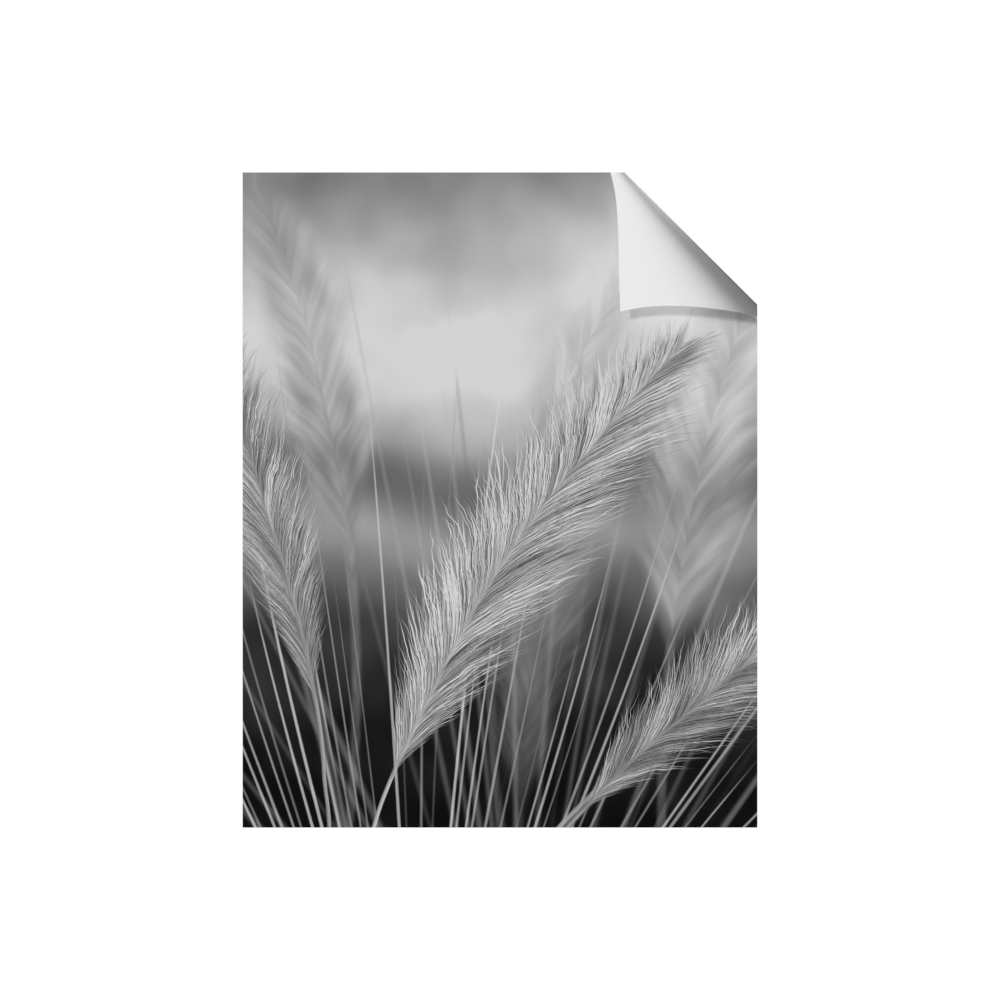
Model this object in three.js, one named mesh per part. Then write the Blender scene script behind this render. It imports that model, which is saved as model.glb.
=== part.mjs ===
// Unframed paper print: one portrait sheet, face up on z = 0, its top right corner curled over.
// Millimetres. The origin is the middle of the sheet's back, +X is the picture's right, +Y its top.
import * as THREE from "three";

// Sheet, as cut
const WIDTH = 279.4;
const HEIGHT = 355.6;
const THICKNESS = 0.45;

// Curl. The paper bends along straight lines that fan out from one point beyond the top edge,
// so it bends without stretching. The first of these lines is where the paper leaves the flat.
const FAN_POINT = new THREE.Vector3(54.5, 191, 0);
const LIFT_ANGLE = THREE.MathUtils.degToRad(-48);
const CORNER_TURN = THREE.MathUtils.degToRad(181);
// How much of the fan the bend is spread over, and how gently it sets in
const BEND_SPREAD = THREE.MathUtils.degToRad(4.7);
const BEND_EASE = 1.4;

// The curled corner is cut fuller than a square one: how far its sides stand out past the sheet's,
// at the tip, and what is added for the share of the fan back from the tip and for its square
const RIGHT_FULLNESS = [5.6, -12.8, 27.1];
const TOP_FULLNESS = [8.4, -24.5, 76.3];
// Both ends of the roll are trimmed flush with the sheet's sides, leaning in by this much of the height
const END_LEAN = 0.1;
const STRIPS = 120;

const PRINTED_COLOUR = 0x8c8c8c;
const PAPER_COLOUR = 0xe7e7e7;
const PAPER_ROUGHNESS = 0.85;

// Flat outline
const RIGHT_EDGE = WIDTH / 2;
const TOP_EDGE = HEIGHT / 2;
const TO_RIGHT_EDGE = RIGHT_EDGE - FAN_POINT.x;
const TO_TOP_EDGE = TOP_EDGE - FAN_POINT.y;
const CORNER_ANGLE = Math.atan2(TO_TOP_EDGE + TOP_FULLNESS[0], TO_RIGHT_EDGE + RIGHT_FULLNESS[0]);

// Angle of a fan line in the flat sheet; squared, so that the lines lie close together in the fold
function fanAngle(index) {
  const share = (index / STRIPS) ** 2;
  return LIFT_ANGLE + share * (CORNER_ANGLE - LIFT_ANGLE);
}

// How far the paper has turned over at a fan angle: bending sets in gently, peaks and dies away
function turnAt(angle) {
  return CORNER_TURN * (1 - Math.exp((LIFT_ANGLE - angle) / BEND_SPREAD)) ** BEND_EASE;
}

function fullness([atTip, perShare, perSquare], angle) {
  const share = (CORNER_ANGLE - angle) / (CORNER_ANGLE - LIFT_ANGLE);
  return atTip + share * (perShare + share * perSquare);
}

// How far along a fan line the curled corner's right side is: its cut, or sooner where it is trimmed
function toRightSide(angle, along) {
  const cut = (TO_RIGHT_EDGE + fullness(RIGHT_FULLNESS, angle)) / Math.cos(angle);
  const outwards = along.x + END_LEAN * along.z;
  return outwards > 0 ? Math.min(cut, TO_RIGHT_EDGE / outwards) : cut;
}

// How far along a fan line the curled corner's top side is: its cut, or later where it is trimmed
function toTopSide(angle, along) {
  const cut = (TO_TOP_EDGE + fullness(TOP_FULLNESS, angle)) / Math.sin(angle);
  return Math.max(cut, TO_TOP_EDGE / (along.y + END_LEAN * along.z));
}

// Walks over the fan lines, turning in the paper's plane between lines and folding about each strip
function rolledLines() {
  const along = new THREE.Vector3(Math.cos(LIFT_ANGLE), Math.sin(LIFT_ANGLE), 0);
  const up = new THREE.Vector3(0, 0, 1);
  const lines = [];
  for (let index = 0; index <= STRIPS; index += 1) {
    const angle = fanAngle(index);
    if (index > 0) {
      const before = fanAngle(index - 1);
      const halfStep = (angle - before) / 2;
      along.applyAxisAngle(up, halfStep);
      up.applyAxisAngle(along, turnAt(angle) - turnAt(before));
      along.applyAxisAngle(up, halfStep);
    }
    lines.push({
      toRight: toRightSide(angle, along),
      toTop: toTopSide(angle, along),
      along: along.clone(),
      up: up.clone(),
    });
  }
  return lines;
}

function flatPoint(x, y) {
  return { place: new THREE.Vector3(x, y, 0), up: new THREE.Vector3(0, 0, 1) };
}

function rolledPoint(line, distance) {
  return { place: FAN_POINT.clone().addScaledVector(line.along, distance), up: line.up };
}

// The sheet's rim, anticlockwise as seen on the printed side from the bottom left corner:
// up the right edge to the curled corner, and back along the top edge
function sheetRim(lines) {
  const curved = lines.slice(0, STRIPS);
  return [
    flatPoint(-RIGHT_EDGE, -TOP_EDGE),
    flatPoint(RIGHT_EDGE, -TOP_EDGE),
    ...curved.map((line) => rolledPoint(line, line.toRight)),
    rolledPoint(lines[STRIPS], lines[STRIPS].toRight),
    ...curved.reverse().map((line) => rolledPoint(line, line.toTop)),
    flatPoint(-RIGHT_EDGE, TOP_EDGE),
  ];
}

// Triangles of the printed side, as places on the rim: the flat part, the strips and the tip
function sheetFaces(rimLength) {
  const bottomLeft = 0;
  const bottomRight = 1;
  const topLeft = rimLength - 1;
  const onRight = (index) => bottomRight + 1 + index;
  const onTop = (index) => topLeft - 1 - index;
  const faces = [
    [bottomLeft, bottomRight, onRight(0)],
    [bottomLeft, onRight(0), onTop(0)],
    [bottomLeft, onTop(0), topLeft],
  ];
  for (let index = 0; index < STRIPS - 1; index += 1) {
    faces.push([onRight(index), onRight(index + 1), onTop(index + 1)]);
    faces.push([onRight(index), onTop(index + 1), onTop(index)]);
  }
  faces.push([onRight(STRIPS - 1), onRight(STRIPS), onTop(STRIPS - 1)]);
  return faces;
}

// Both sides are split alike and joined round the rim, so the thin sheet stays one closed solid
function sheetGeometry() {
  const rim = sheetRim(rolledLines());
  const count = rim.length;
  const back = rim.map((point) => point.place);
  const printed = rim.map((point) => point.place.clone().addScaledVector(point.up, THICKNESS));
  const faces = sheetFaces(count);
  const printedIndex = faces.flatMap(([a, b, c]) => [a + count, b + count, c + count]);
  const backIndex = faces.flatMap(([a, b, c]) => [c, b, a]);
  const cutIndex = rim.flatMap((_, here) => {
    const next = (here + 1) % count;
    return [here, next, next + count, here, next + count, here + count];
  });
  const geometry = new THREE.BufferGeometry().setFromPoints([...back, ...printed]);
  geometry.setIndex([...printedIndex, ...backIndex, ...cutIndex]);
  geometry.addGroup(0, printedIndex.length, 0);
  geometry.addGroup(printedIndex.length, backIndex.length + cutIndex.length, 1);
  geometry.computeVertexNormals();
  return geometry;
}

const printedMaterial = new THREE.MeshStandardMaterial({
  color: PRINTED_COLOUR,
  roughness: PAPER_ROUGHNESS,
  metalness: 0,
});
const paperMaterial = new THREE.MeshStandardMaterial({
  color: PAPER_COLOUR,
  roughness: PAPER_ROUGHNESS,
  metalness: 0,
});

const sheet = new THREE.Mesh(sheetGeometry(), [printedMaterial, paperMaterial]);
sheet.name = "sheet";

const print = new THREE.Group();
print.add(sheet);

export default print;
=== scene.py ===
import math

import bpy
from mathutils import Matrix, Vector


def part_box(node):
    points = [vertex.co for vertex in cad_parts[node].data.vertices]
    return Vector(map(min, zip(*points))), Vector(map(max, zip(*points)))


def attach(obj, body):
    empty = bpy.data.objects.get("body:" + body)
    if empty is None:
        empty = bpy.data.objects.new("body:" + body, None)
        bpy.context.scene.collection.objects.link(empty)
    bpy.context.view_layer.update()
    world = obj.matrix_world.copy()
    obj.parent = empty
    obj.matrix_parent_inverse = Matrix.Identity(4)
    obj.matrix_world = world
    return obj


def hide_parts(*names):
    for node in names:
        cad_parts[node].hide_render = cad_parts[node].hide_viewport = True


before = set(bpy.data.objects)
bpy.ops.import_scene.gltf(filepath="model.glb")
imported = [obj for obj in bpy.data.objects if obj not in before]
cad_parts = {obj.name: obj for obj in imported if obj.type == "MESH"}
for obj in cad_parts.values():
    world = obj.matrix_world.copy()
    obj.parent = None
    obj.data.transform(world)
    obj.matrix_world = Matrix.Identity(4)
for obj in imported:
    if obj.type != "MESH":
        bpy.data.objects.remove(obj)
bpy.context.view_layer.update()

MM_PER_METRE = 1000.0

# Sheet, in metres: its sides are the solid's, whose origin is in its middle
RIGHT_EDGE, TOP_EDGE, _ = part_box("sheet")[1]
WIDTH = 2 * RIGHT_EDGE
HEIGHT = 2 * TOP_EDGE
THICKNESS = 0.00045

# Curl: the lines that the paper bends along fan out from one point beyond the top edge
FAN_POINT = Vector((0.0545, 0.191, 0.0))
LIFT_ANGLE = math.radians(-48)
CORNER_TURN = math.radians(181)
# How much of the fan the bend is spread over, and how gently it sets in
BEND_SPREAD = math.radians(4.7)
BEND_EASE = 1.4
# The curled corner is cut fuller than a square one: how far its sides stand out past the sheet's, at
# the tip, and what is added for the share of the fan back from the tip and for its square
RIGHT_FULLNESS = (0.0056, -0.0128, 0.0271)
TOP_FULLNESS = (0.0084, -0.0245, 0.0763)
# Both ends of the roll are trimmed flush with the sheet's sides, leaning in by this share of the height
END_LEAN = 0.1

# Mesh: fan lines in the curl and in the flat part, cells along each; a shorter line is one point
CURL_LINES = 320
FLAT_LINES = 60
CELLS_ALONG_LINE = 28
SHORTEST_LINE = 0.000001
SHARP_ANGLE = math.radians(40)

# Camera: straight above the sheet, its frame 543 mm wide there
FRAME_WIDTH = 0.54295
LENS = 100.0
SENSOR = 36.0

# Lights: more than half of what the flat sheet takes is from the low side light, which rakes over the
# curl, and most of the rest from the key. Directions are the way to the light.
WORLD_LIGHT = 0.045
KEY_FROM = (-12, 6.5, 21)
KEY_STRENGTH = 0.88
KEY_SPREAD = 8
SIDE_FROM = (-10, 1.1, 1.6)
SIDE_STRENGTH = 8.0
SIDE_SPREAD = 14
# A small lamp low beyond the curled corner lights the roll's outer side, most of all at the top edge
CORNER_PLACE = (0.105, 0.197, 0.0075)
CORNER_POWER = 0.05
CORNER_SIZE = 0.012

# Floor: its half width, how far below the sheet it lies, and its own white
FLOOR_REACH = 6.0
FLOOR_GAP = 0.0002
FLOOR_GLOW = 1.02

# Greys of the picture as seen, from 0 to 1: ink never gets quite black, nor brighter than the coated
# face. Its greys are stretched about 0.5 by the contrast, and 0.5 becomes the middle tone. A grey as
# seen, to the power of the gamma, is the share of the light that the face gives back.
DARKEST_TONE = 0.06
BRIGHTEST_TONE = 0.98
MIDDLE_TONE = 0.6
CONTRAST = 1.3
GAMMA = 2.2
# Grain of the ink: grains to a millimetre, and how much they change the grey
INK_GRAINS = 3.2
INK_GRAIN_TONE = 0.05

# Fine tooth of the matte paper: grains to a millimetre, and their height in metres
TOOTH_GRAINS = 2.4
TOOTH_HEIGHT = 0.000006
# Roughness of black ink and of the bare back, and what a light tone, the tooth and flecks add to it
INK_ROUGHNESS = 0.6
PAPER_ROUGHNESS = 0.8
TONE_ROUGHNESS = 0.12
TOOTH_ROUGHNESS = 0.1
FLECK_ROUGHNESS = 0.06
PRINT_SPECULAR = 0.18
PAPER_SPECULAR = 0.15
# Bare back: its grey, how much tooth and flecks change it, and flecks to a millimetre
PAPER_GREY = 0.80
TOOTH_GREY = 0.04
FLECK_GREY = 0.02
FLECKS = 0.5

# The picture, in millimetres from the sheet's bottom left corner. A plume has its base's two
# coordinates, its direction in degrees, length, bow, half width and seed; then its softness or, for
# the near ones, its brightness; and last how much of it shows.
FAR_PLUMES = (
    ((58, 150, 96, 190, 26, 30, 3.1), 0.30, 0.62),
    ((232, 96, 84, 200, -24, 34, 5.7), 0.34, 0.62),
    ((150, 176, 74, 150, -30, 22, 8.3), 0.42, 0.45),
    ((150, 8, 88, 180, -20, 26, 9.9), 0.40, 0.40),
)
NEAR_PLUMES = (
    ((38, 74, 100, 220, 34, 34, 12.5), 0.88, 0.96),
    ((188, 14, 47, 205, -42, 38, 21.4), 0.84, 0.96),
    ((84, 34, 68, 268, -58, 50, 33.9), 1.0, 1.0),
)
# Leaves, as the plumes: then the softness of the edge, and how much of it shows
BLADES = (
    ((62, -44, 98, 270, 44, 4.6, 41.0), 1.8, 0.75),
    ((120, -70, 58, 250, -70, 4.6, 51.0), 0.7, 0.9),
)
# Stalks: their root's two coordinates, number to a radian, thickness, softness, length and seed; and
# how much of them shows
FAR_STALKS = ((150, -160, 26, 1.6, 1.5, 470, 2.0), 0.35)
NEAR_STALKS = ((96, -190, 44, 0.8, 0.4, 430, 6.0), 0.75)
# The field behind them, from its foot to the sky: how high up, and how bright
FIELD = (
    (0.0, 0.09), (0.14, 0.13), (0.28, 0.25), (0.38, 0.47), (0.46, 0.61),
    (0.53, 0.34), (0.61, 0.60), (0.72, 0.87), (0.85, 0.72), (1.0, 0.45),
)
# Uneven patches in the field: width and height in millimetres, strength, and seed. The first kind
# shifts the field up and down by millimetres, the others change its grey.
FIELD_SHIFTS = (150.0, 190.0, 80.0, 1.7)
BROAD_PATCHES = (60.0, 48.0, 0.22, 5.0)
CLOSE_PATCHES = (24.0, 30.0, 0.09, 9.0)

# Every plume. Places along it run from 0 at its foot to 1 at its tip, and places across it are shares
# of its half width. Its outline rises from the foot and falls to the tip by these powers.
FOOT_START = 0.03
FOOT_POWER = 0.42
TIP_POWER = 0.72
OUTLINE_SCALE = 1.62
# To a plume's length: tufts, ragged places in its outline, and the fine fibres of its inside
TUFTS = 17.0
RAGGED_PLACES = 46.0
INNER_FIBRES = 130.0

# A near plume's fibres lean to its tip by a share of its length, which grows by a power of the place
# across. The axis and the fibres wander: by millimetres, and by a share of the length.
NEAR_LEAN = 0.27
NEAR_LEAN_POWER = 0.66
AXIS_WANDER = 7.0
FIBRE_WANDER = 0.035
# The inside's outline, ragged between these shares of the plume's, and its border, from clear to full
RAGGED_OUTLINE = (0.1, 1.35)
INSIDE_BORDER = (1.1, 0.5)
# Between these places along it the inside and the single fibres come in, at the foot
INSIDE_COMES_IN = (-0.05, 0.02)
FIBRES_COME_IN = (-0.05, -0.02)
# Light on it: in the middle, and what the left side, the fibres' ends, tufts and the tip add
BODY_LIGHT = 0.74
LEFT_LIGHT = 0.06
ENDS_LIGHT = 0.2
TUFT_LIGHT = 0.9
TIP_LIGHT = 0.06
# Greys as shares of that light: between the fibres of the inside, what those add, and single fibres,
# from the dullest to the brightest. How much single fibres cover, and how far out they reach.
GAP_GREY = 0.36
INNER_FIBRE_GREY = 0.44
FIBRE_GREY = (0.62, 1.24)
FIBRE_COVER = 0.92
FIBRE_OVERREACH = 1.08
# Its stem: half width in millimetres, from clear to full; where along the plume it goes under; its
# grey, and how much darker it is for each millimetre to the left; and how much of it shows
STEM_EDGE = (1.5, 0.7)
STEM_GOES_UNDER = (0.8, 0.3)
STEM_GREY = 0.66
STEM_SHADE = 0.12
STEM_SHOWS = (0.55, 1.0)
# Layers of single fibres in a near plume: number to its length, thickness as a share of their spacing,
# shift of the seed, how much further than others they lean to the tip, and how far they wander
FIBRE_LAYERS = (
    (64.0, 0.32, 0.0, 0.0, 0.0),
    (118.0, 0.26, 31.0, 0.05, 0.010),
    (150.0, 0.30, 44.0, -0.06, -0.014),
    (52.0, 0.13, 57.0, 0.10, 0.022),
)
# Where in its lane a single fibre runs, its thickness and its reach, each from the least to the most;
# where across its thickness it is solid, and across its reach it starts to fade
FIBRE_PLACE = (0.25, 0.75)
FIBRE_THICKNESS = (0.4, 1.0)
FIBRE_REACH = (0.45, 1.3)
FIBRE_SOLID = 0.2
FIBRE_FADE = 0.55
# Keeps the lanes of a plume's two sides apart, so that they don't mirror each other
SIDE_SHIFT = 17.3

# A far plume, as a near one: its lean, wander and tufted outline, and where its head comes in
FAR_LEAN = 0.24
FAR_LEAN_POWER = 0.8
FAR_WANDER = 0.09
FAR_OUTLINE = (0.6, 1.3)
HEAD_COMES_IN = (-0.08, 0.12)
FAR_STEM_EDGE = (4.0, 1.0)
FAR_STEM_GOES_UNDER = (0.4, 0.0)
FAR_STEM_SHOWS = 0.6
# Its grey, and what tufts, clouds in it and its soft ends add
FAR_GREY = 0.36
FAR_TUFT_GREY = 0.42
FAR_CLOUD_GREY = 0.5
FAR_ENDS_GREY = 0.08

# A leaf's outline, which has already begun at its foot, and widens and narrows by these powers
LEAF_FOOT = 0.12
LEAF_FOOT_POWER = 0.5
LEAF_TIP_POWER = 0.8
LEAF_SCALE = 1.35
# Its grey, and what its sheen, left half and veins add to it and its midrib takes
LEAF_GREY = 0.10
LEAF_SHEEN = 0.6
LEAF_LEFT = 0.16
LEAF_VEINS = 0.22
LEAF_RIB = 0.12

# Stalks: where in its lane each runs, its length and thickness, each from the least to the most; its
# thickness at its end; and their bow, which grows with the square of the way from the root
STALK_PLACE = (0.2, 0.8)
STALK_LENGTH = (0.75, 1.25)
STALK_THICKNESS = (0.5, 1.2)
STALK_END = 0.3
STALK_BOW = 0.0000028
# Their grey, and what thickness and place in the lane add to it
STALK_GREY = 0.25
STALK_THICK_GREY = 0.4
STALK_PLACE_GREY = 0.25

# Inputs of a plume's or leaf's group, before the one that is its own
SHAPE_INPUTS = ["X", "Y", "Base X", "Base Y", "Angle", "Length", "Bow", "Width", "Seed"]

# Baked map: the face takes the height of the square, the back and the cut edge the strip beside it
MAP_FACE_HEIGHT = 0.955
MAP_MARGIN = 0.006
MAP_BACK_LEFT = 0.80
MAP_BACK_HEIGHT = 0.24
MAP_CUT_LOW = 0.27
MAP_CUT_HEIGHT = 0.01
MAP_CUT_WIDTH = 0.18


def fan_angle_of(x, y):
    return math.atan2(y - FAN_POINT.y, x - FAN_POINT.x)


TO_RIGHT_EDGE = RIGHT_EDGE - FAN_POINT.x
TO_TOP_EDGE = TOP_EDGE - FAN_POINT.y
CORNER_ANGLE = fan_angle_of(RIGHT_EDGE + RIGHT_FULLNESS[0], TOP_EDGE + TOP_FULLNESS[0])


def turn_at(angle):
    """How far the paper has turned over at a fan angle."""
    return CORNER_TURN * (1 - math.exp((LIFT_ANGLE - angle) / BEND_SPREAD)) ** BEND_EASE


def fan_angles():
    """Angles of the fan lines in the flat sheet, from its top left corner to its top right one."""
    first = fan_angle_of(-RIGHT_EDGE, TOP_EDGE)
    corners = [fan_angle_of(-RIGHT_EDGE, -TOP_EDGE), fan_angle_of(RIGHT_EDGE, -TOP_EDGE)]
    flat = [first + (LIFT_ANGLE - first) * i / FLAT_LINES for i in range(FLAT_LINES)]
    shares = [(i / CURL_LINES) ** 2 for i in range(CURL_LINES + 1)]
    curl = [LIFT_ANGLE + (CORNER_ANGLE - LIFT_ANGLE) * share for share in shares]
    return sorted(flat + corners + curl)


def fullness(amounts, angle):
    """How far a side of the curled corner stands out past the sheet's, at a fan angle."""
    at_tip, per_share, per_square = amounts
    share = (CORNER_ANGLE - angle) / (CORNER_ANGLE - LIFT_ANGLE)
    return at_tip + share * (per_share + share * per_square)


def flat_span(angle):
    """How far along a flat part's fan line the top edge is, and the left, bottom or right one."""
    ways = [(-TOP_EDGE - FAN_POINT.y) / math.sin(angle)]
    across = math.cos(angle)
    if across > 0:
        ways.append(TO_RIGHT_EDGE / across)
    if across < 0:
        ways.append((-RIGHT_EDGE - FAN_POINT.x) / across)
    return TO_TOP_EDGE / math.sin(angle), min(ways)


def curl_span(angle, along):
    """The same for the curled corner: to each side's cut, or to where the roll's end is trimmed."""
    top = (TO_TOP_EDGE + fullness(TOP_FULLNESS, angle)) / math.sin(angle)
    top = max(top, TO_TOP_EDGE / (along.y + END_LEAN * along.z))
    right = (TO_RIGHT_EDGE + fullness(RIGHT_FULLNESS, angle)) / math.cos(angle)
    outwards = along.x + END_LEAN * along.z
    if outwards > 0:
        right = min(right, TO_RIGHT_EDGE / outwards)
    return top, max(top, right)


def rolled_lines():
    """Each fan line's angle, where it enters and leaves the sheet, its direction and the normal."""
    lines = []
    along = Vector()
    up = Vector((0, 0, 1))
    before = None
    for angle in fan_angles():
        if angle <= LIFT_ANGLE:
            along = Vector((math.cos(angle), math.sin(angle), 0))
            enter, leave = flat_span(angle)
        else:
            half_step = (angle - before) / 2
            along = Matrix.Rotation(half_step, 3, up) @ along
            up = Matrix.Rotation(turn_at(angle) - turn_at(before), 3, along) @ up
            along = Matrix.Rotation(half_step, 3, up) @ along
            enter, leave = curl_span(angle, along)
        before = angle
        lines.append((angle, enter, leave, along.copy(), up.copy()))
    return lines


def sheet_grid():
    """Rows of points along the fan lines: the flat place, the back's place and the normal of each."""
    rows = []
    for angle, enter, leave, along, up in rolled_lines():
        cells = 0 if leave - enter < SHORTEST_LINE else CELLS_ALONG_LINE
        row = []
        for cell in range(cells + 1):
            share = cell / cells if cells else 0
            distance = enter + (leave - enter) * share
            flat = (FAN_POINT.x + distance * math.cos(angle), FAN_POINT.y + distance * math.sin(angle))
            row.append((flat, FAN_POINT + along * distance, up))
        rows.append(row)
    return rows


def grid_faces(rows):
    """Faces between neighbouring rows, anticlockwise on the printed side; one-point rows close them."""
    starts = []
    count = 0
    for row in rows:
        starts.append(count)
        count += len(row)
    faces = []
    for here in range(len(rows) - 1):
        a, b = starts[here], starts[here + 1]
        for cell in range(CELLS_ALONG_LINE):
            near = (a, a) if len(rows[here]) == 1 else (a + cell, a + cell + 1)
            far = (b, b) if len(rows[here + 1]) == 1 else (b + cell, b + cell + 1)
            corners = [near[0], near[1], far[1], far[0]]
            faces.append(list(dict.fromkeys(corners)))
    return faces


def rim_loop(faces):
    """The border of the faces, one closed loop in the faces' own direction."""
    edges = {}
    for face in faces:
        for here, there in zip(face, face[1:] + face[:1]):
            edges[(here, there)] = True
    follow = {here: there for here, there in edges if (there, here) not in edges}
    start = next(iter(follow))
    loop = [start]
    while follow[loop[-1]] != start:
        loop.append(follow[loop[-1]])
    return loop


def face_map(flat):
    """A flat place on the face, as its place in the baked map."""
    scale = MAP_FACE_HEIGHT / HEIGHT
    return (flat[0] + RIGHT_EDGE) * scale + MAP_MARGIN, (flat[1] + TOP_EDGE) * scale + MAP_MARGIN


def back_map(flat):
    """The same for the back, which lies beside the face, mirrored."""
    scale = MAP_BACK_HEIGHT / HEIGHT
    return MAP_BACK_LEFT + (RIGHT_EDGE - flat[0]) * scale, (flat[1] + TOP_EDGE) * scale + MAP_MARGIN


def cut_map(run, side):
    """The cut edge is a narrow band above the back: the way round the rim runs across it."""
    rim_length = 2 * (WIDTH + HEIGHT)
    return MAP_BACK_LEFT + MAP_CUT_WIDTH * run / rim_length, MAP_CUT_LOW + MAP_CUT_HEIGHT * side


def map_sheet(mesh, flats, side_faces):
    """Two maps: the flat sheet in metres, for the materials, and the square for baked colours."""
    flat_map = mesh.uv_layers.new(name="Sheet")
    bake_map = mesh.uv_layers.new(name="OFBake")
    run = 0.0
    for index, polygon in enumerate(mesh.polygons):
        corners = [flats[vertex % len(flats)] for vertex in polygon.vertices]
        if index < side_faces:
            places = [face_map(flat) for flat in corners]
        elif index < 2 * side_faces:
            places = [back_map(flat) for flat in corners]
        else:
            after = run + math.dist(corners[0], corners[1])
            places = [cut_map(run, 0), cut_map(after, 0), cut_map(after, 1), cut_map(run, 1)]
            run = after
        for loop, flat, place in zip(polygon.loop_indices, corners, places):
            flat_map.data[loop].uv = (flat[0] + RIGHT_EDGE, flat[1] + TOP_EDGE)
            bake_map.data[loop].uv = place


def add_object(name, data):
    item = bpy.data.objects.new(name, data)
    bpy.context.scene.collection.objects.link(item)
    return item


def make_sheet(printed, paper):
    """One closed shell: the printed side, the back, and the cut edge between them."""
    rows = sheet_grid()
    points = [point for row in rows for point in row]
    count = len(points)
    faces = grid_faces(rows)
    rim = rim_loop(faces)
    back = [place for _, place, _ in points]
    front = [place + up * THICKNESS for _, place, up in points]
    front_faces = [[vertex + count for vertex in face] for face in faces]
    back_faces = [face[::-1] for face in faces]
    cut_faces = [[a, b, b + count, a + count] for a, b in zip(rim, rim[1:] + rim[:1])]
    mesh = bpy.data.meshes.new("print_sheet")
    mesh.from_pydata(back + front, [], front_faces + back_faces + cut_faces)
    mesh.materials.append(printed)
    mesh.materials.append(paper)
    for index, polygon in enumerate(mesh.polygons):
        polygon.use_smooth = True
        polygon.material_index = 0 if index < len(faces) else 1
    map_sheet(mesh, [flat for flat, _, _ in points], len(faces))
    mesh.set_sharp_from_angle(angle=SHARP_ANGLE)
    return add_object("print_sheet", mesh)


class Term:
    """A number that varies over a surface: arithmetic on terms adds Math nodes to their tree."""

    def __init__(self, tree, socket):
        self.tree = tree
        self.socket = socket

    def math(self, operation, *others, clamp=False):
        node = self.tree.nodes.new("ShaderNodeMath")
        node.operation = operation
        node.use_clamp = clamp
        for socket, value in zip(node.inputs, (self, *others)):
            put(self.tree, socket, value)
        return Term(self.tree, node.outputs[0])

    def __add__(self, other):
        return self.math("ADD", other)

    __radd__ = __add__

    def __sub__(self, other):
        return self.math("SUBTRACT", other)

    def __rsub__(self, other):
        return self.math("MULTIPLY_ADD", -1.0, other)

    def __mul__(self, other):
        return self.math("MULTIPLY", other)

    def __truediv__(self, other):
        return self.math("DIVIDE", other)

    def __pow__(self, other):
        return self.math("POWER", other)

    def __abs__(self):
        return self.math("ABSOLUTE")


def put(tree, socket, value):
    """Links a term to a socket, or sets a plain value on it."""
    if isinstance(value, Term):
        tree.links.new(value.socket, socket)
    else:
        socket.default_value = value


def smooth(term, low, high):
    """0 below low and 1 above high, with a soft step between; low may be the larger."""
    node = term.tree.nodes.new("ShaderNodeMapRange")
    node.interpolation_type = "SMOOTHSTEP"
    for name, value in (("Value", term), ("From Min", low), ("From Max", high)):
        put(term.tree, node.inputs[name], value)
    return Term(term.tree, node.outputs["Result"])


def mix(share, a, b):
    """a where share is 0 and b where it is 1."""
    node = share.tree.nodes.new("ShaderNodeMix")
    node.data_type = "FLOAT"
    put(share.tree, node.inputs[0], share)
    put(share.tree, node.inputs[2], a)
    put(share.tree, node.inputs[3], b)
    return Term(share.tree, node.outputs[0])


def clamped(term):
    """The term, held between 0 and 1."""
    return term.math("ADD", 0.0, clamp=True)


def between(share, low, high):
    """From low, where the share is 0, to high, where it is 1."""
    return share * (high - low) + low


def vector(tree, x, y, z=0.0):
    node = tree.nodes.new("ShaderNodeCombineXYZ")
    for socket, value in zip(node.inputs, (x, y, z)):
        put(tree, socket, value)
    return Term(tree, node.outputs[0])


def noise(tree, x, y, z=0.0, detail=2.0, roughness=0.5):
    """Smooth noise from 0 to 1 about 0.5, one feature to each unit of the coordinates."""
    node = tree.nodes.new("ShaderNodeTexNoise")
    put(tree, node.inputs["Vector"], vector(tree, x, y, z))
    node.inputs["Scale"].default_value = 1.0
    node.inputs["Detail"].default_value = detail
    node.inputs["Roughness"].default_value = roughness
    return Term(tree, node.outputs[0])


def swing(tree, x, y, z=0.0, **kind):
    """The same noise about 0, from -0.5 to 0.5."""
    return noise(tree, x, y, z, **kind) - 0.5


def draws(tree, x, y):
    """Three random numbers from 0 to 1 for each pair of whole numbers."""
    node = tree.nodes.new("ShaderNodeTexWhiteNoise")
    node.noise_dimensions = "2D"
    put(tree, node.inputs["Vector"], vector(tree, x, y))
    split = tree.nodes.new("ShaderNodeSeparateColor")
    tree.links.new(node.outputs["Color"], split.inputs[0])
    return [Term(tree, socket) for socket in split.outputs]


def new_group(name, inputs):
    """A group that draws one thing: its tree and the terms that it is given."""
    tree = bpy.data.node_groups.new(name, "ShaderNodeTree")
    for label in inputs:
        tree.interface.new_socket(label, in_out="INPUT", socket_type="NodeSocketFloat")
    entry = tree.nodes.new("NodeGroupInput")
    return tree, [Term(tree, entry.outputs[label]) for label in inputs]


def close_group(tree, tone, cover):
    """What every such group gives: the thing's grey, and how much of each spot it covers."""
    for label in ("Tone", "Cover"):
        tree.interface.new_socket(label, in_out="OUTPUT", socket_type="NodeSocketFloat")
    leave = tree.nodes.new("NodeGroupOutput")
    put(tree, leave.inputs["Tone"], tone)
    put(tree, leave.inputs["Cover"], cover)
    return tree


def use_group(tree, group, values):
    node = tree.nodes.new("ShaderNodeGroup")
    node.node_tree = group
    for socket, value in zip(node.inputs, values):
        put(tree, socket, value)
    return [Term(tree, socket) for socket in node.outputs]


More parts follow.
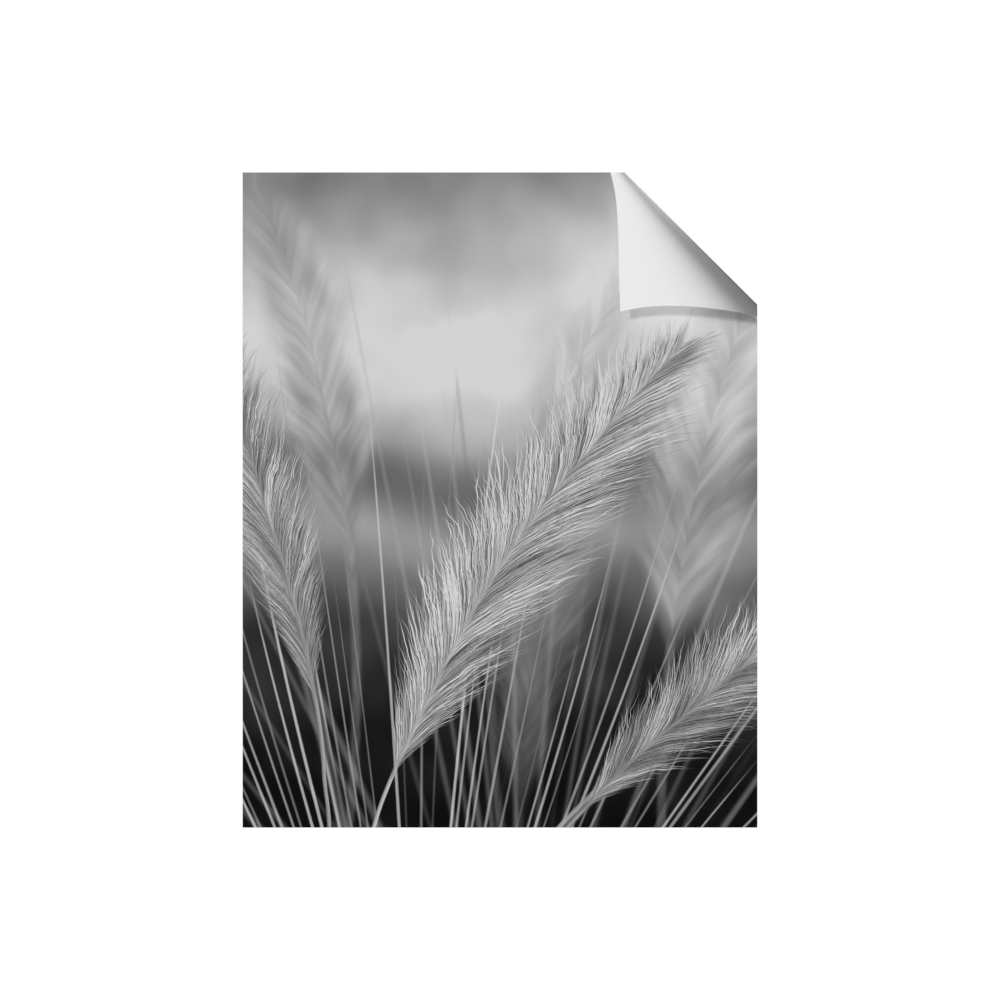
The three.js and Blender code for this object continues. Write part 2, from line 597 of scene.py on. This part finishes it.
def strands(tree, flow, spread, hand, reach_at, seed, per_length, thin):
    """One layer of single fibres: how much of each spot a fibre covers, and how bright it is."""
    lane = flow * per_length + hand * SIDE_SHIFT
    number = lane.math("FLOOR")
    first, second, third = draws(tree, number, seed)
    offset = abs(lane - number - between(first, *FIBRE_PLACE))
    wide = between(second, *FIBRE_THICKNESS) * thin
    line = smooth(offset, wide, wide * FIBRE_SOLID)
    reach = reach_at * between(third, *FIBRE_REACH)
    fade = smooth(spread, reach, reach * FIBRE_FADE)
    return line * fade, first


def bowed_axis(given):
    """A spot's place beside a bowed axis: how far along, 0 to 1, and how far to the left of it."""
    x, y, base_x, base_y, angle, length, bow = given[:7]
    cosine = angle.math("COSINE")
    sine = angle.math("SINE")
    from_x = x - base_x
    from_y = y - base_y
    along = (from_x * cosine + from_y * sine) / length
    side = from_y * cosine - from_x * sine - bow * along * along
    return along, side


def plume_reach(start):
    """How far a fibre reaches from the axis, by where along the axis it starts."""
    from_foot = clamped(start + FOOT_START)
    to_tip = clamped(1.0 - start)
    return (from_foot ** FOOT_POWER) * (to_tip ** TIP_POWER) * OUTLINE_SCALE


def plume_body(tree, along, flow, spread, hand, reach, seed):
    """The inside of a near plume: how well lit a spot is, its grey, and how much of it is covered."""
    fibre = noise(tree, flow * INNER_FIBRES + hand * 7.0, spread * 2.2, seed, detail=3.0, roughness=0.7)
    clump = noise(tree, flow * TUFTS + hand * 5.0, spread * 1.1, seed + 9.0)
    ragged = noise(tree, flow * RAGGED_PLACES + hand * 3.0, seed, spread * 0.6)
    edge = reach * between(ragged, *RAGGED_OUTLINE)
    clear, full = INSIDE_BORDER
    cover = smooth(spread, edge * clear, edge * full) * smooth(flow, *INSIDE_COMES_IN)
    # Fibres stand clear of the stem and catch the light from the left; between them it is dark
    lit = BODY_LIGHT + hand * LEFT_LIGHT + smooth(spread, 0.0, 0.75) * ENDS_LIGHT
    lit = lit + (clump - 0.5) * TUFT_LIGHT + along * TIP_LIGHT
    tone = smooth(fibre, 0.34, 0.72) * INNER_FIBRE_GREY * lit + lit * GAP_GREY
    return lit, tone, cover


def plume_group():
    """A feathery seed head: fibres leave a bowed axis on both sides and lean towards its tip."""
    tree, given = new_group("Plume", SHAPE_INPUTS + ["Brightness"])
    along, side = bowed_axis(given)
    width, seed, brightness = given[7:]
    side = side + swing(tree, along * 3.0, seed) * AXIS_WANDER
    hand = side.math("SIGN")
    spread = abs(side) / width
    # Spots on one fibre have the same flow, which is where along the axis the fibre starts
    warp = swing(tree, along * 9.0, spread * 2.0 + hand * 3.0, seed + 4.0)
    curl = swing(tree, along * 26.0, spread * 5.0 + hand * 3.0, seed + 2.0)
    lean = (spread ** NEAR_LEAN_POWER) * NEAR_LEAN
    flow = along - lean + warp * FIBRE_WANDER
    reach = plume_reach(flow)
    lit, tone, cover = plume_body(tree, along, flow, spread, hand, reach, seed)
    longest = reach * FIBRE_OVERREACH
    for per_length, thin, shift, cross, tangle in FIBRE_LAYERS:
        path = flow - spread * cross + curl * tangle
        line, chance = strands(tree, path, spread, hand, longest, seed + shift, per_length, thin)
        line = line * smooth(path, *FIBRES_COME_IN)
        tone = mix(line * FIBRE_COVER, tone, lit * between(chance, *FIBRE_GREY))
        cover = cover.math("MAXIMUM", line)
    # The stem shows through the head and carries it from below, where it is bare
    bare = smooth(flow, *reversed(INSIDE_COMES_IN))
    stem = smooth(abs(side), *STEM_EDGE) * smooth(along, *STEM_GOES_UNDER)
    tone = mix(stem * between(bare, *STEM_SHOWS), tone, STEM_GREY - side * STEM_SHADE)
    return close_group(tree, tone * brightness, cover.math("MAXIMUM", stem * bare))


def blade_group():
    """A long narrow leaf with fine veins, lighter on the left of its midrib."""
    tree, given = new_group("Blade", SHAPE_INPUTS + ["Softness"])
    along, side = bowed_axis(given)
    width, seed, soft = given[7:]
    inside = clamped(along)
    half = (inside + LEAF_FOOT) ** LEAF_FOOT_POWER * ((1.0 - inside) ** LEAF_TIP_POWER) * width * LEAF_SCALE
    vein = swing(tree, along * 3.0, side * 1.7, seed)
    sheen = noise(tree, along * 5.0, side * 0.2, seed + 5.0, detail=1.0)
    rib = smooth(abs(side), 0.6 + soft, 0.0)
    left = smooth(side, soft * -0.6 - 0.3, soft * 0.6 + 0.3)
    tone = sheen * LEAF_SHEEN + left * LEAF_LEFT + vein * LEAF_VEINS - rib * LEAF_RIB + LEAF_GREY
    cover = smooth(abs(side) - half, soft, soft * -1.0) * smooth(along, 1.0, 0.96)
    return close_group(tree, tone, cover)


def soft_plume_group():
    """The same seed head out of focus: only its tufts can be told apart."""
    tree, given = new_group("Soft plume", SHAPE_INPUTS + ["Softness"])
    along, side = bowed_axis(given)
    width, seed, soft = given[7:]
    spread = abs(side) / width
    hand = side.math("SIGN")
    warp = swing(tree, along * 5.0, side / 26.0, seed + 6.0, detail=1.0)
    flow = along - (spread ** FAR_LEAN_POWER) * FAR_LEAN + warp * FAR_WANDER
    reach = plume_reach(flow)
    tuft = noise(tree, flow * TUFTS + hand * 3.0, spread * 1.1, seed)
    cloud = noise(tree, along * 4.0, spread * 1.5, seed + 3.0, detail=1.0)
    edge = reach * between(tuft, *FAR_OUTLINE)
    head = smooth(edge - spread, soft * -1.0, soft) * smooth(flow, *HEAD_COMES_IN)
    stem = smooth(abs(side), *FAR_STEM_EDGE) * smooth(along, *FAR_STEM_GOES_UNDER) * FAR_STEM_SHOWS
    ends = smooth(spread, 0.1, 0.9)
    tone = (tuft - 0.5) * FAR_TUFT_GREY + cloud * FAR_CLOUD_GREY + ends * FAR_ENDS_GREY + FAR_GREY
    return close_group(tree, tone, head.math("MAXIMUM", stem))


def stalks_group():
    """Thin stalks that fan out from one root below the sheet."""
    labels = ["X", "Y", "Root X", "Root Y", "Count", "Thick", "Soft", "Tall", "Seed"]
    tree, given = new_group("Stalks", labels)
    x, y, root_x, root_y, count, thick, soft, tall, seed = given
    from_x = x - root_x
    from_y = y - root_y
    distance = (from_x * from_x + from_y * from_y).math("SQRT")
    angle = from_x.math("ARCTAN2", from_y)
    bow = swing(tree, angle * 1.7, seed, detail=1.0)
    lane = (angle + bow * distance * distance * STALK_BOW) * count
    number = lane.math("FLOOR")
    first, second, third = draws(tree, number, seed)
    offset = abs(lane - number - between(first, *STALK_PLACE)) * distance / count
    taper = smooth(distance, tall * between(third, *STALK_LENGTH), tall * 0.3)
    wide = thick * between(second, *STALK_THICKNESS) * between(taper, STALK_END, 1.0)
    line = smooth(offset, wide + soft, wide - soft)
    # Each fades out at its end, and the thinnest, by the same draw, are left out
    cover = line * smooth(taper, 0.0, 0.25) * smooth(second, 0.3, 0.45)
    tone = second * STALK_THICK_GREY + first * STALK_PLACE_GREY + STALK_GREY
    return close_group(tree, tone, cover)


def patches(tree, x, y, width, height, strength, seed):
    """Soft uneven patches, above and below 0."""
    return swing(tree, x / width, y / height, seed, detail=1.0) * strength


def field_tone(tree, x, y):
    """The background: a field and sky out of focus, uneven in broad patches and in smaller ones."""
    level = (y + patches(tree, x, y, *FIELD_SHIFTS)) / (HEIGHT * MM_PER_METRE)
    ramp = tree.nodes.new("ShaderNodeValToRGB")
    ramp.color_ramp.interpolation = "B_SPLINE"
    stops = ramp.color_ramp.elements
    while len(stops) < len(FIELD):
        stops.new(0.5)
    for stop, (place, grey) in zip(stops, FIELD):
        stop.position = place
        stop.color = (grey, grey, grey, 1.0)
    tree.links.new(level.socket, ramp.inputs[0])
    broad = patches(tree, x, y, *BROAD_PATCHES)
    close = patches(tree, x, y, *CLOSE_PATCHES)
    return Term(tree, ramp.outputs[0]) + broad + close


def draw_over(tone, group, values, share):
    """The tone with the thing that a group draws laid over it, as far as its share."""
    grey, cover = use_group(tone.tree, group, values)
    return mix(cover * share, tone, grey)


def draw_shapes(tone, group, x, y, shapes):
    """The same for each plume or leaf of a list."""
    for (base_x, base_y, turn, *rest), own, share in shapes:
        values = (x, y, base_x, base_y, math.radians(turn), *rest, own)
        tone = draw_over(tone, group, values, share)
    return tone


def picture_tone(tree, x, y):
    """The printed picture's grey, from 0 to 1 as seen: grass plumes before a field out of focus."""
    tone = field_tone(tree, x, y)
    tone = draw_shapes(tone, soft_plume_group(), x, y, FAR_PLUMES)
    stalks = stalks_group()
    for shape, share in (FAR_STALKS, NEAR_STALKS):
        tone = draw_over(tone, stalks, (x, y, *shape), share)
    tone = draw_shapes(tone, blade_group(), x, y, BLADES)
    tone = draw_shapes(tone, plume_group(), x, y, NEAR_PLUMES)
    grain = swing(tree, x * INK_GRAINS, y * INK_GRAINS, detail=1.0)
    tone = (tone - 0.5) * CONTRAST + grain * INK_GRAIN_TONE + MIDDLE_TONE
    return tone.math("MINIMUM", BRIGHTEST_TONE).math("MAXIMUM", DARKEST_TONE)


def principled(name):
    material = bpy.data.materials.new(name)
    material.use_nodes = True
    tree = material.node_tree
    return material, tree, tree.nodes["Principled BSDF"]


def sheet_place(tree):
    """Where a spot lies on the flat sheet, in millimetres from its bottom left corner."""
    place = tree.nodes.new("ShaderNodeUVMap")
    place.uv_map = "Sheet"
    split = tree.nodes.new("ShaderNodeSeparateXYZ")
    tree.links.new(place.outputs[0], split.inputs[0])
    return [Term(tree, socket) * MM_PER_METRE for socket in split.outputs[:2]]


def tooth(tree, x, y):
    """The paper's fine tooth, from 0 to 1."""
    return noise(tree, x * TOOTH_GRAINS, y * TOOTH_GRAINS)


def emboss(tree, shader, height, depth):
    """Stands the surface out by a height from 0 to 1, times depth in metres."""
    bump = tree.nodes.new("ShaderNodeBump")
    bump.inputs["Distance"].default_value = depth
    put(tree, bump.inputs["Height"], height)
    tree.links.new(bump.outputs["Normal"], shader.inputs["Normal"])


def printed_material():
    """Matte print: the ink lies in the paper's tooth and is a little smoother where it is dark."""
    material, tree, shader = principled("printed_face")
    x, y = sheet_place(tree)
    tone = picture_tone(tree, x, y)
    grain = tooth(tree, x, y)
    roughness = tone * TONE_ROUGHNESS + grain * TOOTH_ROUGHNESS + INK_ROUGHNESS
    put(tree, shader.inputs["Base Color"], tone ** GAMMA)
    put(tree, shader.inputs["Roughness"], roughness)
    shader.inputs["Specular IOR Level"].default_value = PRINT_SPECULAR
    emboss(tree, shader, grain, TOOTH_HEIGHT)
    return material


def paper_material():
    """Bare white fine art paper: faint flecks, uneven in the way it takes the light."""
    material, tree, shader = principled("bare_paper")
    x, y = sheet_place(tree)
    grain = tooth(tree, x, y)
    flecks = swing(tree, x * FLECKS, y * FLECKS, 7.0, detail=4.0, roughness=0.7)
    grey = (grain - 0.5) * TOOTH_GREY + flecks * FLECK_GREY + PAPER_GREY
    roughness = grain * TOOTH_ROUGHNESS + flecks * FLECK_ROUGHNESS + PAPER_ROUGHNESS
    put(tree, shader.inputs["Base Color"], grey)
    put(tree, shader.inputs["Roughness"], roughness)
    shader.inputs["Specular IOR Level"].default_value = PAPER_SPECULAR
    emboss(tree, shader, grain, TOOTH_HEIGHT)
    return material


def make_floor():
    """A plain white ground that takes no shadow, as in a cut-out product picture; it lights nothing."""
    corners = [(-1, -1), (1, -1), (1, 1), (-1, 1)]
    mesh = bpy.data.meshes.new("floor")
    points = [(x * FLOOR_REACH, y * FLOOR_REACH, -FLOOR_GAP) for x, y in corners]
    mesh.from_pydata(points, [], [(0, 1, 2, 3)])
    material, _, shader = principled("floor")
    shader.inputs["Base Color"].default_value = (0, 0, 0, 1)
    shader.inputs["Specular IOR Level"].default_value = 0.0
    shader.inputs["Emission Color"].default_value = (1, 1, 1, 1)
    shader.inputs["Emission Strength"].default_value = FLOOR_GLOW
    mesh.materials.append(material)
    floor = add_object("floor", mesh)
    floor.visible_diffuse = False


def make_sun(name, towards, strength, spread, glare=True):
    """A lamp far away; towards is the way to it from the sheet. Without glare it makes no glints."""
    light = bpy.data.lights.new(name, "SUN")
    light.energy = strength
    light.angle = math.radians(spread)
    lamp = add_object(name, light)
    lamp.rotation_euler = Vector(towards).to_track_quat("Z", "Y").to_euler()
    lamp.visible_glossy = glare


def make_corner_lamp():
    light = bpy.data.lights.new("corner", "POINT")
    light.energy = CORNER_POWER
    light.shadow_soft_size = CORNER_SIZE
    lamp = add_object("corner", light)
    lamp.location = CORNER_PLACE
    lamp.visible_camera = False
    lamp.visible_glossy = False


def make_world():
    """Weak light from all round; where a view looks past the floor, it is as white as the floor."""
    world = bpy.data.worlds.new("studio")
    world.use_nodes = True
    tree = world.node_tree
    background = tree.nodes["Background"]
    background.inputs["Color"].default_value = (1, 1, 1, 1)
    seen = Term(tree, tree.nodes.new("ShaderNodeLightPath").outputs["Is Camera Ray"])
    put(tree, background.inputs["Strength"], mix(seen, WORLD_LIGHT, FLOOR_GLOW))
    bpy.context.scene.world = world


def make_camera():
    data = bpy.data.cameras.new("camera")
    data.lens = LENS
    data.sensor_width = SENSOR
    camera = add_object("camera", data)
    camera.location.z = FRAME_WIDTH * LENS / SENSOR
    bpy.context.scene.camera = camera


make_camera()
print_sheet = make_sheet(printed_material(), paper_material())
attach(print_sheet, "root")
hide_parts("sheet")
make_floor()
make_world()
make_sun("key", KEY_FROM, KEY_STRENGTH, KEY_SPREAD)
make_sun("side", SIDE_FROM, SIDE_STRENGTH, SIDE_SPREAD, glare=False)
make_corner_lamp()
bpy.context.scene.view_settings.view_transform = "Standard"
